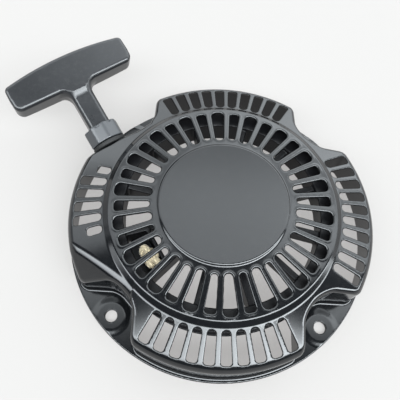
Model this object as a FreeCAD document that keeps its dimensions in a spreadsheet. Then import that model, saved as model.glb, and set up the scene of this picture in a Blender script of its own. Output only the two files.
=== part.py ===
import FreeCAD, Part
import math
import os
import Sketcher

# Recoil starter of a small engine: a stamped steel cover with its mounting flange on z = 0, a spoked rope
# reel that turns on a post under the cover, and a T-handle on the rope at the side.
# Frame: millimetres, +Z up along the reel's axis, origin at the middle of the four mounting holes, in the
# plane of the flange's underside.

SIZES = [
    # stamped cover, outer surface
    ("sheet_thickness", 1.6),
    ("flange_radius", 95.0),
    ("wall_foot_radius", 92.0),
    ("wall_top_radius", 91.2),
    ("band_outer_height", 26.8),
    ("step_radius", 69.6),
    ("band_inner_height", 32.4),
    ("plateau_radius", 66.2),
    ("plateau_height", 35.0),
    ("ring_radius", 39.6),
    ("ring_height", 38.2),
    ("disc_radius", 37.2),
    ("disc_height", 39.2),
    ("shoulder_round", 4.5),
    # the four lug recesses and their holes
    ("recess_side", 46.2),
    ("recess_back_radius", 74.0),
    ("lug_hole_circle", 87.0),
    ("lug_hole_radius", 3.5),
    ("lug_pad_radius", 10.5),
    ("lug_pad_height", 0.7),
    # vents: a ring of 36 slots, then four groups on the lower band
    ("ring_slots", 18),
    ("wide_slot_inner", 42.0),
    ("wide_slot_outer", 63.7),
    ("wide_slot_tip", 2.4),
    ("wide_slot_base", 3.8),
    ("narrow_slot_inner", 42.5),
    ("narrow_slot_outer", 62.9),
    ("narrow_slot_tip", 1.8),
    ("narrow_slot_base", 3.1),
    ("band_slots", 10),
    ("band_slot_pitch", 6.0),
    ("band_slot_inner", 70.7),
    ("band_slot_outer", 87.2),
    ("band_slot_tip", 2.1),
    ("band_slot_base", 2.7),
    ("short_slot_outer", 79.5),
    # rope outlet: the middle of the guide's seat, and the direction of the pull
    ("outlet_x", -72.9),
    ("outlet_y", 42.5),
    ("outlet_z", 20.0),
    ("pull_heading", 126.0),
    ("pull_rise", 20.0),
    ("plain_facet_heading", 231.0),
    ("plain_facet_rise", 43.0),
    ("plain_facet_reach", 72.7),
    ("plain_facet_level", 30.0),
    # post, screw and washers
    ("post_radius", 6.0),
    ("post_foot_radius", 11.0),
    ("post_foot_height", 2.0),
    ("post_bottom", 4.6),
    ("screw_radius", 2.5),
    ("screw_head_radius", 5.5),
    ("screw_head_height", 2.9),
    ("screw_length", 20.0),
    ("friction_spring_radius", 9.0),
    ("washer_radius", 10.5),
    ("washer_thickness", 1.5),
    # reel
    ("reel_bottom", 13.0),
    ("reel_top", 28.4),
    ("reel_radius", 71.2),
    ("reel_flange_thickness", 1.5),
    ("drum_radius", 62.0),
    ("rim_bore", 58.5),
    ("hub_radius", 24.0),
    ("hub_top", 26.0),
    ("arbor_radius", 9.2),
    ("arbor_top", 34.5),
    ("bush_radius", 7.6),
    ("running_gap", 0.05),
    ("spoke_count", 12),
    ("spoke_width", 4.0),
    ("spoke_bottom", 14.0),
    ("spoke_top", 26.5),
    ("spoke_phase", 18.0),
    ("pocket_radius", 43.3),
    ("pocket_wall", 2.2),
    ("pocket_half_width", 12.0),
    ("pocket_floor", 1.6),
    ("pocket_angle", 213.0),
    ("reel_knot_radius", 4.9),
    ("reel_knot_reach", 50.6),
    ("reel_knot_shift", 3.0),
    ("reel_knot_half_length", 3.2),
    ("reel_knot_height", 21.8),
    # rope
    ("rope_radius", 1.75),
    ("rope_turns", 3),
    # spring and its cup under the cover
    ("cup_radius", 31.0),
    ("cup_wall", 1.0),
    ("cup_bottom", 27.5),
    ("cup_lip_radius", 26.0),
    ("spring_bottom", 29.2),
    ("spring_width", 6.4),
    ("spring_thickness", 0.6),
    ("spring_turns", 6),
    ("spring_clear_inside", 0.8),
    ("spring_clear_outside", 2.6),
    ("spring_pin_radius", 0.9),
    # pawls and friction plate under the hub
    ("pawl_pivot_radius", 17.0),
    ("pawl_pin_radius", 2.0),
    ("pawl_pin_top", 20.0),
    ("pawl_coil_wall", 1.3),
    ("pawl_arm_step", 1.5),
    ("pawl_bottom", 8.6),
    ("pawl_top", 11.8),
    ("pawl_length", 17.0),
    ("pawl_width", 7.0),
    ("plate_bottom", 6.4),
    ("plate_thickness", 1.6),
    ("plate_radius", 15.0),
    ("plate_ear_reach", 20.0),
    ("plate_ear_half_width", 4.0),
    # handle, measured along the pull from the outlet's face
    ("guide_flange", 3.0),
    ("guide_flange_radius", 11.2),
    ("guide_neck_radius", 6.0),
    ("guide_neck_length", 6.0),
    ("guide_bore_radius", 2.3),
    ("collar_start", 3.3),
    ("collar_length", 11.2),
    ("collar_radius", 11.4),
    ("stem_radius", 7.0),
    ("grip_start", 42.5),
    ("grip_middle", 64.5),
    ("grip_end_reach", 60.7),
    ("grip_half_length", 41.0),
    ("grip_thickness", 16.6),
    ("grip_round", 3.0),
    ("grip_root_length", 9.0),
    ("rope_bore_gap", 0.35),
    ("knot_radius", 3.6),
    ("anchor_radius", 5.0),
    ("anchor_thickness", 1.5),
    ("anchor_seat", 48.5),
    ("plug_thickness", 3.4),
    ("plug_depth", 0.6),
]

doc = FreeCAD.newDocument("recoil_starter")
sheet = doc.addObject("Spreadsheet::Sheet", "dims")
for line, (alias, value) in enumerate(SIZES, 1):
    sheet.set(f"A{line}", alias)
    sheet.set(f"B{line}", str(value))
    sheet.setAlias(f"B{line}", alias)
doc.recompute()


def size(expression):
    """The value of an expression of the sheet's cells."""
    return float(sheet.evalExpression(expression))


def finish(obj, label):
    """Give a sub-part the label that names its file."""
    obj.Label = label
    PARTS.append(obj)
    return obj


PARTS = []


# ---------------------------------------------------------------- helpers for sketches and bodies

def plane_of(body, role):
    return next(item for item in body.Origin.OriginFeatures if item.Role == role)


def new_sketch(body, name, role, lift=None, turn=None):
    """A sketch on one of a body's origin planes, lifted along it and turned in it by expressions."""
    sketch = body.newObject("Sketcher::SketchObject", name)
    sketch.AttachmentSupport = [(plane_of(body, role), "")]
    sketch.MapMode = "FlatFace"
    if lift:
        sketch.setExpression(".AttachmentOffset.Base.z", lift)
    if turn:
        sketch.setExpression(".AttachmentOffset.Rotation.Angle", turn)
        sketch.AttachmentOffset = FreeCAD.Placement(
            sketch.AttachmentOffset.Base, FreeCAD.Rotation(FreeCAD.Vector(0, 0, 1), size(turn)))
    return sketch


def bind(sketch, index, name, expression):
    sketch.renameConstraint(index, name)
    sketch.setExpression("Constraints." + name, expression)


def fix_point(sketch, edge, end, across, along, tag):
    """Hold one end of an edge at two expressions, measured from the sketch's origin."""
    for kind, expression in (("DistanceX", across), ("DistanceY", along)):
        index = sketch.addConstraint(Sketcher.Constraint(kind, -1, 1, edge, end, size(expression)))
        bind(sketch, index, tag + kind[-1], expression)


def draw_outline(sketch, corners, arcs=()):
    """A closed outline through the corners, anticlockwise. An arc entry (i, radius) bows edge i
    round the origin."""
    places = [FreeCAD.Vector(size(x), size(y), 0) for x, y in corners]
    bowed = dict(arcs)
    count = len(corners)
    for i in range(count):
        start, end = places[i], places[(i + 1) % count]
        if i in bowed:
            radius = size(bowed[i])
            middle = (start + end).normalize() * radius
            edge = Part.ArcOfCircle(start, middle, end)
        else:
            edge = Part.LineSegment(start, end)
        sketch.addGeometry(edge, False)
    for i in range(count):
        sketch.addConstraint(Sketcher.Constraint("Coincident", i, 2, (i + 1) % count, 1))
        fix_point(sketch, i, 1, *corners[i], f"p{i}")
    for i in bowed:
        sketch.addConstraint(Sketcher.Constraint("PointOnObject", i, 3, -1))


def draw_slot(sketch, near, far, tip, base):
    """A slot along the sketch's X axis from near to far, with a round tip and a wider round base."""
    x_tip, x_base = near + " + " + tip, far + " - " + base
    a, b, r, q = size(x_tip), size(x_base), size(tip), size(base)
    lean = math.asin((q - r) / (b - a))
    up = FreeCAD.Vector(-math.sin(lean), math.cos(lean), 0)
    down = FreeCAD.Vector(-math.sin(lean), -math.cos(lean), 0)
    tip_centre, base_centre = FreeCAD.Vector(a, 0, 0), FreeCAD.Vector(b, 0, 0)
    axis = FreeCAD.Vector(0, 0, 1)
    half = math.pi / 2 + lean
    sketch.addGeometry(Part.ArcOfCircle(Part.Circle(tip_centre, axis, r), half, 2 * math.pi - half), False)
    sketch.addGeometry(Part.LineSegment(tip_centre + down * r, base_centre + down * q), False)
    sketch.addGeometry(Part.ArcOfCircle(Part.Circle(base_centre, axis, q), -half, half), False)
    sketch.addGeometry(Part.LineSegment(base_centre + up * q, tip_centre + up * r), False)
    for first, first_end, second, second_end in ((0, 2, 1, 1), (1, 2, 2, 1), (2, 2, 3, 1), (3, 2, 0, 1)):
        sketch.addConstraint(Sketcher.Constraint("Tangent", first, first_end, second, second_end))
    for edge, expression, name in ((0, x_tip, "tip_place"), (2, x_base, "base_place")):
        sketch.addConstraint(Sketcher.Constraint("PointOnObject", edge, 3, -1))
        index = sketch.addConstraint(Sketcher.Constraint("DistanceX", -1, 1, edge, 3, size(expression)))
        bind(sketch, index, name, expression)
    for edge, expression, name in ((0, tip, "tip_round"), (2, base, "base_round")):
        index = sketch.addConstraint(Sketcher.Constraint("Radius", edge, size(expression)))
        bind(sketch, index, name, expression)


def pocket(body, sketch, name):
    """Cut a plan sketch upwards through the whole body."""
    cut = body.newObject("PartDesign::Pocket", name)
    cut.Profile = sketch
    cut.Type = 1
    cut.Reversed = True
    return cut


def polar(body, feature, name, count, span):
    """Repeat a feature round the body's Z axis."""
    pattern = body.newObject("PartDesign::PolarPattern", name)
    pattern.Originals = [feature]
    pattern.Axis = (plane_of(body, "Z_Axis"), [""])
    pattern.setExpression("Angle", span)
    pattern.setExpression("Occurrences", count)
    body.Tip = pattern
    return pattern


def ring_edges(shape, spots):
    """Names of the full circles round Z at the given radius and height expressions."""
    names = []
    for i, edge in enumerate(shape.Edges, 1):
        if not isinstance(edge.Curve, Part.Circle):
            continue
        for radius, height in spots:
            near = abs(edge.Curve.Radius - size(radius)) < 0.01
            if near and abs(edge.Curve.Center.z - size(height)) < 0.01:
                names.append(f"Edge{i}")
    return names


# ---------------------------------------------------------------- helpers for primitives

def cylinder(name, radius, bottom, top, x="0", y="0"):
    """An upright cylinder between two heights."""
    obj = doc.addObject("Part::Cylinder", name)
    obj.setExpression("Radius", radius)
    obj.setExpression("Height", f"({top}) - ({bottom})")
    obj.setExpression(".Placement.Base.x", x)
    obj.setExpression(".Placement.Base.y", y)
    obj.setExpression(".Placement.Base.z", bottom)
    return obj


def box(name, low, high, heading="0"):
    """A box between two corners, each three expressions, turned round the Z axis by a heading."""
    obj = doc.addObject("Part::Box", name)
    for prop, a, b in zip(("Length", "Width", "Height"), low, high):
        obj.setExpression(prop, f"({b}) - ({a})")
    turn = FreeCAD.Rotation(FreeCAD.Vector(0, 0, 1), size(heading))
    obj.Placement = FreeCAD.Placement(FreeCAD.Vector(0, 0, 0), turn)
    x, y, z = low
    obj.setExpression(".Placement.Base.x", f"({x}) * cos({heading}) - ({y}) * sin({heading})")
    obj.setExpression(".Placement.Base.y", f"({x}) * sin({heading}) + ({y}) * cos({heading})")
    obj.setExpression(".Placement.Base.z", z)
    return obj


def cut(name, base, tool):
    obj = doc.addObject("Part::Cut", name)
    obj.Base, obj.Tool = base, tool
    return obj


def fuse(name, shapes):
    obj = doc.addObject("Part::MultiFuse", name)
    obj.Shapes = shapes
    return obj


def common(name, shapes):
    obj = doc.addObject("Part::MultiCommon", name)
    obj.Shapes = shapes
    return obj


def tube(name, outer, inner, bottom, top):
    """An upright ring between two heights."""
    body = cylinder(name + "_body", outer, bottom, top)
    hole = cylinder(name + "_hole", inner, f"({bottom}) - 1", f"({top}) + 1")
    return cut(name, body, hole)


def turned(obj, angle):
    """Turn an object round the Z axis of the starter by an angle in degrees."""
    spin = FreeCAD.Placement(FreeCAD.Vector(0, 0, 0), FreeCAD.Rotation(FreeCAD.Vector(0, 0, 1), angle))
    obj.Placement = spin.multiply(obj.Placement)
    return obj


def solid_feature(name, shape, placement=None):
    """A feature that holds a shape made by Part's own functions."""
    obj = doc.addObject("Part::Feature", name)
    obj.Shape = shape
    if placement:
        obj.Placement = placement
    return obj


def frame_of(x, y, z, heading, rise):
    """A placement whose Y axis points along a heading and rise, and whose X axis lies level."""
    a, b = math.radians(size(heading)), math.radians(size(rise))
    along = FreeCAD.Vector(math.cos(b) * math.cos(a), math.cos(b) * math.sin(a), math.sin(b))
    across = FreeCAD.Vector(math.sin(a), -math.cos(a), 0)
    above = across.cross(along)
    turn = FreeCAD.Rotation(across, along, above, "ZXY")
    return FreeCAD.Placement(FreeCAD.Vector(x, y, z), turn)


OUTLET = frame_of(size("dims.outlet_x"), size("dims.outlet_y"), size("dims.outlet_z"),
                  "dims.pull_heading", "dims.pull_rise")


def along_pull(name, radius, start, end):
    """A cylinder on the pull's axis between two distances from the outlet's face."""
    obj = doc.addObject("Part::Cylinder", name)
    obj.setExpression("Radius", radius)
    obj.setExpression("Height", f"({end}) - ({start})")
    lay = FreeCAD.Rotation(FreeCAD.Vector(1, 0, 0), -90)
    obj.Placement = OUTLET.multiply(FreeCAD.Placement(FreeCAD.Vector(0, size(start), 0), lay))
    return obj


# ---------------------------------------------------------------- the stamped cover

def bell(name, wall):
    """The cover's form as a solid of revolution with its four lug recesses, inset by the wall."""
    inset = f" - {wall}"
    body = doc.addObject("PartDesign::Body", name)
    side_plane = "XZ_Plane" if wall == "0" else "YZ_Plane"
    profile = new_sketch(body, name + "_profile", side_plane)
    top = [
        ("0", "dims.disc_height" + inset),
        ("dims.disc_radius" + inset + " * 0.5", "dims.disc_height" + inset),
        ("dims.ring_radius" + inset + " * 0.5", "dims.ring_height" + inset),
        ("dims.plateau_radius" + inset + " * 0.5", "dims.plateau_height" + inset),
        ("dims.step_radius" + inset + " * 0.6", "dims.band_inner_height" + inset),
        ("dims.wall_top_radius" + inset, "dims.band_outer_height" + inset),
    ]
    if wall == "0":
        foot = [
            ("dims.wall_foot_radius", "dims.sheet_thickness"),
            ("dims.flange_radius", "dims.sheet_thickness"),
            ("dims.flange_radius", "0"),
            ("0", "0"),
        ]
        floor = "dims.sheet_thickness"
    else:
        foot = [("dims.wall_foot_radius" + inset, "-2"), ("0", "-2")]
        floor = "-3"
    draw_outline(profile, top + foot)
    turn = body.newObject("PartDesign::Revolution", name + "_turn")
    turn.Profile = profile
    turn.ReferenceAxis = (profile, ["V_Axis"])
    turn.Angle = 360
    doc.recompute()
    rounding = body.newObject("PartDesign::Fillet", name + "_shoulder")
    rounding.Base = (turn, ring_edges(turn.Shape, [top[5]]))
    rounding.setExpression("Radius", "dims.shoulder_round" + inset)
    doc.recompute()
    side, back = "dims.recess_side" + inset, "dims.recess_back_radius" + inset
    corner = f"sqrt(({back}) ^ 2 - ({side}) ^ 2)"
    recess = new_sketch(body, name + "_recess", "XY_Plane", lift=floor)
    draw_outline(recess, [(corner, side), (side, corner), (side, "130"), ("130", "130"), ("130", side)],
                 arcs=[(0, back)])
    opening = pocket(body, recess, name + "_recess_cut")
    polar(body, opening, name + "_recesses", "4", "360")
    return body


def slots(body, name, near, far, tip, base, start, count, span):
    """A group of vents: one pocket at the angle start, repeated round the axis."""
    sketch = new_sketch(body, name + "_outline", "XY_Plane", turn=start)
    draw_slot(sketch, near, far, tip, base)
    first = pocket(body, sketch, name)
    if count != "1":
        polar(body, first, name + "_pattern", count, span)
    else:
        body.Tip = first


def facet_wedge(name, placement, depth, floor, limit):
    """What a flat facet takes off one corner of the west group's cover, inset by the depth."""
    reach = 90
    wedge = doc.addObject("Part::Box", name + "_wedge")
    wedge.Length, wedge.Width, wedge.Height = 2 * reach, reach, 2 * reach
    wedge.Placement = placement.multiply(
        FreeCAD.Placement(FreeCAD.Vector(-reach, -depth, -reach), FreeCAD.Rotation()))
    window = box(name + "_window", ("-130", "-130", floor), (limit, "130", "60"))
    return common(name, [wedge, window])


def vents(body):
    """Every slot of the cover: the two ring patterns, then the four groups on the band."""
    full = "dims.ring_slots"
    slots(body, "wide_vents", "dims.wide_slot_inner", "dims.wide_slot_outer",
          "dims.wide_slot_tip", "dims.wide_slot_base", "15", full, "360")
    slots(body, "narrow_vents", "dims.narrow_slot_inner", "dims.narrow_slot_outer",
          "dims.narrow_slot_tip", "dims.narrow_slot_base", "5", full, "360")
    first = "dims.band_slot_pitch * (dims.band_slots - 1) / 2"
    for group, heading in (("east", 0), ("north", 90), ("south", 270)):
        slots(body, group + "_vents", "dims.band_slot_inner", "dims.band_slot_outer",
              "dims.band_slot_tip", "dims.band_slot_base", f"{heading} - {first}",
              "dims.band_slots", f"2 * {first}")
    slots(body, "west_vents", "dims.band_slot_inner", "dims.band_slot_outer",
          "dims.band_slot_tip", "dims.band_slot_base", "180 - dims.band_slot_pitch * 1.5",
          "4", "dims.band_slot_pitch * 3")
    slots(body, "short_vents", "dims.band_slot_inner", "dims.short_slot_outer",
          "dims.band_slot_tip", "dims.band_slot_tip", "180 - dims.band_slot_pitch * 2.5",
          "2", "dims.band_slot_pitch * 5")


def make_cover():
    outer = bell("cover_outside", "0")
    inner = bell("cover_inside", "dims.sheet_thickness")
    plain = math.radians(size("dims.plain_facet_heading"))
    reach = size("dims.plain_facet_reach")
    facet = frame_of(reach * math.cos(plain), reach * math.sin(plain), size("dims.plain_facet_level"),
                     "dims.plain_facet_heading", "dims.plain_facet_rise")
    wall = size("dims.sheet_thickness")
    side = "-dims.recess_side"
    blocks = []
    for name, body, depth, floor in (("outside", outer, 0, "dims.sheet_thickness"),
                                     ("inside", inner, wall, "-4")):
        limit = side if depth == 0 else side + " + dims.sheet_thickness"
        rope_side = facet_wedge("rope_facet_" + name, OUTLET, depth, floor, limit)
        plain_side = facet_wedge("plain_facet_" + name, facet, depth, floor, limit)
        blocks.append(cut("facets_" + name, body, fuse("facet_pair_" + name, [rope_side, plain_side])))
    shell = cut("cover_shell", blocks[0], blocks[1])
    pads = []
    drills = [along_pull("guide_seat", "dims.guide_neck_radius + dims.running_gap", "-12", "12")]
    for i in range(4):
        angle = math.radians(45 + 90 * i)
        x = f"dims.lug_hole_circle * {math.cos(angle):.9f}"
        y = f"dims.lug_hole_circle * {math.sin(angle):.9f}"
        pads.append(cylinder(f"lug_pad_{i}", "dims.lug_pad_radius", "dims.sheet_thickness / 2",
                             "dims.sheet_thickness + dims.lug_pad_height", x, y))
        drills.append(cylinder(f"lug_hole_{i}", "dims.lug_hole_radius", "-1", "6", x, y))
    rim = cylinder("flange_limit", "dims.flange_radius - 0.2", "0", "6")
    pad_set = common("lug_pads", [fuse("lug_pad_discs", pads), rim])
    drilled = cut("cover_drilled", fuse("cover_with_pads", [shell, pad_set]), fuse("drillings", drills))
    doc.recompute()
    cover = doc.addObject("PartDesign::Body", "cover")
    cover.BaseFeature = drilled
    vents(cover)
    finish(cover, "cover")


# ---------------------------------------------------------------- post and what is fixed on it

def make_post():
    """The axle welded inside the disc, and the screw and washer that close its lower end."""
    roof = "dims.disc_height - dims.sheet_thickness"
    shaft = cylinder("post_shaft", "dims.post_radius", "dims.post_bottom", roof)
    foot = cylinder("post_foot", "dims.post_foot_radius", f"{roof} - dims.post_foot_height", roof)
    thread = cylinder("post_thread", "dims.screw_radius", "dims.post_bottom - 1",
                      "dims.post_bottom + dims.screw_length + 1")
    finish(cut("post", fuse("post_blank", [shaft, foot]), thread), "post")

    washer_bottom = "dims.post_bottom - dims.washer_thickness"
    washer = tube("thrust_washer", "dims.washer_radius", "dims.screw_radius + 0.2",
                  washer_bottom, "dims.post_bottom")
    finish(washer, "thrust_washer")

    head = doc.addObject("Part::Prism", "screw_head")
    head.Polygon = 6
    head.setExpression("Circumradius", "dims.screw_head_radius")
    head.setExpression("Height", "dims.screw_head_height")
    head.setExpression(".Placement.Base.z", f"{washer_bottom} - dims.screw_head_height")
    shank = cylinder("screw_shank", "dims.screw_radius", washer_bottom + " - 0.5",
                     "dims.post_bottom + dims.screw_length")
    finish(fuse("centre_screw", [head, shank]), "centre_screw")

    ring = tube("friction_spring", "dims.friction_spring_radius", "dims.post_radius + 0.3",
                "dims.post_bottom + 0.1", "dims.plate_bottom - 0.15")
    finish(ring, "friction_spring")


# ---------------------------------------------------------------- recoil spring and its cup

def half_turns(start, step, count):
    """Arcs of a spiral strip's middle line: half circles that grow by one step a turn."""
    edges, left = [], -start
    right = start
    for i in range(count):
        side = 1 if i % 2 == 0 else -1
        if side > 0:
            new_left = left - (step if i else 0)
            first, last = FreeCAD.Vector(right, 0, 0), FreeCAD.Vector(new_left, 0, 0)
            left = new_left
        else:
            new_right = right + step
            first, last = FreeCAD.Vector(left, 0, 0), FreeCAD.Vector(new_right, 0, 0)
            right = new_right
        centre = (first + last) * 0.5
        top = centre + FreeCAD.Vector(0, side * abs(first.x - last.x) / 2, 0)
        edges.append(Part.Arc(first, top, last).toShape())
    return edges


def make_spring():
    """A flat spiral strip: its inner end grips the reel's arbor, its outer end the pin in the cup."""
    strip, turns = size("dims.spring_thickness"), size("dims.spring_turns")
    inner = size("dims.arbor_radius + dims.spring_clear_inside")
    outer = size("dims.cup_radius - dims.cup_wall - dims.spring_clear_outside")
    step = (outer - inner) / turns
    count = int(2 * turns)
    near = half_turns(inner, step, count)
    far = half_turns(inner + strip, step, count)
    ends = []
    for end in (0, -1):
        spots = [edges[end].Vertexes[end].Point for edges in (near, far)]
        ends.append(Part.LineSegment(*spots).toShape())
    outline = Part.Wire(Part.__sortEdges__(near + far + ends))
    coil = Part.Face(outline).extrude(FreeCAD.Vector(0, 0, size("dims.spring_width")))
    coil.translate(FreeCAD.Vector(0, 0, size("dims.spring_bottom")))
    finish(solid_feature("recoil_spring", coil), "recoil_spring")

    roof = "dims.disc_height - dims.sheet_thickness"
    inside = "dims.cup_radius - dims.cup_wall"
    wall = tube("cup_side", "dims.cup_radius", inside, "dims.cup_bottom", roof)
    lip = tube("cup_lip", "dims.cup_radius - dims.cup_wall / 2", "dims.cup_lip_radius",
               "dims.cup_bottom", "dims.cup_bottom + dims.cup_wall")
    finish(fuse("spring_cup", [wall, lip]), "spring_cup")
    plate = tube("spring_retainer", inside + " - 0.1", "dims.arbor_radius + 1",
                 "dims.cup_bottom + dims.cup_wall", "dims.spring_bottom - 0.1")
    finish(plate, "spring_retainer")
    pin = cylinder("spring_pin", "dims.spring_pin_radius", "dims.spring_bottom", roof,
                   inside + " - dims.spring_pin_radius")
    finish(pin, "spring_pin")


# ---------------------------------------------------------------- reel, with its bush, rope and pins

def make_reel():
    """The rim that carries the rope and the spoked hub inside it, with the bush, pins, rope and knot."""
    rim = cylinder("rim_body", "dims.reel_radius", "dims.reel_bottom", "dims.reel_top")
    groove = tube("rim_groove", "dims.reel_radius + 1", "dims.drum_radius",
                  "dims.reel_bottom + dims.reel_flange_thickness",
                  "dims.reel_top - dims.reel_flange_thickness")
    bore = cylinder("rim_bore", "dims.rim_bore", "dims.reel_bottom - 1", "dims.reel_top + 1")
    pieces = [cylinder("hub", "dims.hub_radius", "dims.reel_bottom", "dims.hub_top"),
              cylinder("arbor", "dims.arbor_radius", "dims.hub_top - 1", "dims.arbor_top")]
    half = "dims.spoke_width / 2"
    for i in range(int(size("dims.spoke_count"))):
        spoke = box(f"spoke_{i}", ("dims.hub_radius - 1", "-" + half, "dims.spoke_bottom"),
                    ("dims.rim_bore + 1", half, "dims.spoke_top"),
                    f"dims.spoke_phase + 360 * {i} / dims.spoke_count")
        pieces.append(spoke)
    wide = "dims.pocket_half_width"
    pocket_back = box("pocket_back", ("dims.pocket_radius", "-" + wide, "dims.spoke_bottom"),
                      ("dims.pocket_radius + dims.pocket_wall", wide, "dims.spoke_top"),
                      "dims.pocket_angle")
    pocket_floor = box("pocket_base", ("dims.pocket_radius", "-" + wide, "dims.spoke_bottom"),
                       ("dims.rim_bore + 0.5", wide, "dims.spoke_bottom + dims.pocket_floor"),
                       "dims.pocket_angle")
    pieces += [pocket_back, pocket_floor]
    pocket_angle = size("dims.pocket_angle")
    holes = [cylinder("bush_seat", "dims.bush_radius", "dims.reel_bottom - 1", "dims.arbor_top + 1")]
    pins, springs = [], []
    for i, side in enumerate(("", "-")):
        x = side + "dims.pawl_pivot_radius"
        holes.append(cylinder(f"pin_seat_{i}", "dims.pawl_pin_radius", "dims.reel_bottom - 1",
                              "dims.pawl_pin_top", x))
        pins.append(cylinder(f"pawl_pin_{i}", "dims.pawl_pin_radius", "dims.pawl_bottom - 0.3",
                             "dims.pawl_pin_top", x))
        coil = cylinder(f"pawl_coil_{i}", "dims.pawl_pin_radius + dims.pawl_coil_wall",
                        "dims.pawl_top + 0.15", "dims.reel_bottom", x)
        eye = cylinder(f"pawl_coil_eye_{i}", "dims.pawl_pin_radius", "dims.pawl_bottom",
                       "dims.pawl_pin_top + 1", x)
        springs.append(cut(f"pawl_spring_{i}", coil, eye))
    rope_hole = doc.addObject("Part::Cylinder", "rope_hole")
    rope_hole.setExpression("Radius", "dims.rope_radius + 0.4")
    rope_hole.Height = 20
    out = FreeCAD.Rotation(FreeCAD.Vector(0, 1, 0), 90)
    level = (size("dims.reel_bottom") + size("dims.reel_top")) / 2
    rope_hole.Placement = FreeCAD.Placement(FreeCAD.Vector(size("dims.rim_bore") - 8, 0, level), out)
    turned(rope_hole, pocket_angle)
    finish(cut("reel_rim", rim, fuse("rim_cuts", [groove, bore, rope_hole])), "reel_rim")
    reach = cylinder("spoke_reach", "dims.rim_bore", "dims.reel_bottom - 1", "dims.arbor_top + 1")
    spider = common("reel_spider", [fuse("reel_blank", pieces), reach])
    finish(cut("reel", spider, fuse("reel_holes", holes)), "reel")
    finish(fuse("pawl_pins", pins), "pawl_pins")
    finish(fuse("pawl_springs", springs), "pawl_springs")
    bush = tube("reel_bush", "dims.bush_radius", "dims.post_radius + dims.running_gap",
                "dims.reel_bottom", "dims.arbor_top")
    finish(bush, "reel_bush")

    turns = []
    for i in range(int(size("dims.rope_turns"))):
        turn = doc.addObject("Part::Torus", f"rope_turn_{i}")
        turn.setExpression("Radius1", "dims.drum_radius + dims.rope_radius + 0.02")
        turn.setExpression("Radius2", "dims.rope_radius")
        turn.setExpression(".Placement.Base.z", "(dims.reel_bottom + dims.reel_top) / 2 + "
                           f"(dims.rope_radius * 2 + 0.1) * ({i} - (dims.rope_turns - 1) / 2)")
        turns.append(turn)
    finish(fuse("rope_coil", turns), "rope_coil")

    reach, high = size("dims.reel_knot_reach"), size("dims.reel_knot_height")
    lumps = []
    for i, sign in enumerate(("-", "+")):
        shift = size(f"dims.reel_knot_shift {sign} dims.reel_knot_half_length")
        lump = doc.addObject("Part::Sphere", f"reel_knot_lump_{i}")
        lump.setExpression("Radius", "dims.reel_knot_radius")
        lump.Placement = FreeCAD.Placement(FreeCAD.Vector(reach, shift, high), FreeCAD.Rotation())
        lumps.append(turned(lump, pocket_angle))
    finish(fuse("reel_knot", lumps), "reel_knot")


# ---------------------------------------------------------------- pawls and friction plate

def make_pawl(name, angle):
    """A bar that turns on its pin: it lies under the hub at rest and swings out past it."""
    pivot, half = "dims.pawl_pivot_radius", "dims.pawl_width / 2"
    eye = cylinder(name + "_eye", half, "dims.pawl_bottom", "dims.pawl_top", pivot)
    arm = box(name + "_arm", (pivot + " - " + half, "-dims.pawl_length", "dims.pawl_bottom"),
              (pivot + " + " + half + " - dims.pawl_arm_step", "0", "dims.pawl_top"))
    hole = cylinder(name + "_hole", "dims.pawl_pin_radius + dims.running_gap",
                    "dims.pawl_bottom - 1", "dims.pawl_top + 1", pivot)
    pawl = cut(name, fuse(name + "_blank", [eye, arm]), hole)
    pawl.Placement = FreeCAD.Placement(FreeCAD.Vector(0, 0, 0),
                                       FreeCAD.Rotation(FreeCAD.Vector(0, 0, 1), angle))
    finish(pawl, name)


def make_drive():
    make_pawl("pawl_a", 0)
    make_pawl("pawl_b", 180)
    disc = cylinder("plate_disc", "dims.plate_radius", "dims.plate_bottom",
                    "dims.plate_bottom + dims.plate_thickness")
    wide, reach = "dims.plate_ear_half_width", "dims.plate_ear_reach"
    ears = box("plate_ears", ("-" + wide, "-" + reach, "dims.plate_bottom"),
               (wide, reach, "dims.plate_bottom + dims.plate_thickness"))
    hole = cylinder("plate_hole", "dims.post_radius + dims.running_gap", "dims.plate_bottom - 1",
                    "dims.plate_bottom + 5")
    finish(cut("friction_plate", fuse("plate_blank", [disc, ears]), hole), "friction_plate")


# ---------------------------------------------------------------- rope guide, rope and handle

def pipe(points, radius):
    """A round cord of straight runs joined by tangent arcs."""
    edges, start = [], points[0]
    for i in range(1, len(points) - 1):
        before = (points[i - 1] - points[i]).normalize()
        after = (points[i + 1] - points[i]).normalize()
        half = math.pi / 2 - before.getAngle(after) / 2
        shorter = min((points[i - 1] - points[i]).Length, (points[i + 1] - points[i]).Length)
        bend = 0.45 * shorter / math.tan(half)
        print("rope bend radius", round(bend, 1))
        tangent = 0.45 * shorter
        enter, leave = points[i] + before * tangent, points[i] + after * tangent
        inward = (before + after).normalize()
        middle = points[i] + inward * (bend / math.cos(half) - bend)
        edges.append(Part.LineSegment(start, enter).toShape())
        edges.append(Part.Arc(enter, middle, leave).toShape())
        start = leave
    edges.append(Part.LineSegment(start, points[-1]).toShape())
    path = Part.Wire(edges)
    section = Part.Wire(Part.makeCircle(radius, points[0], points[1] - points[0]))
    swept = path.makePipeShell([section], True, True)
    expected = path.Length * math.pi * radius ** 2
    print("rope volume against section times length", round(swept.Volume / expected, 4))
    return swept


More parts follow.
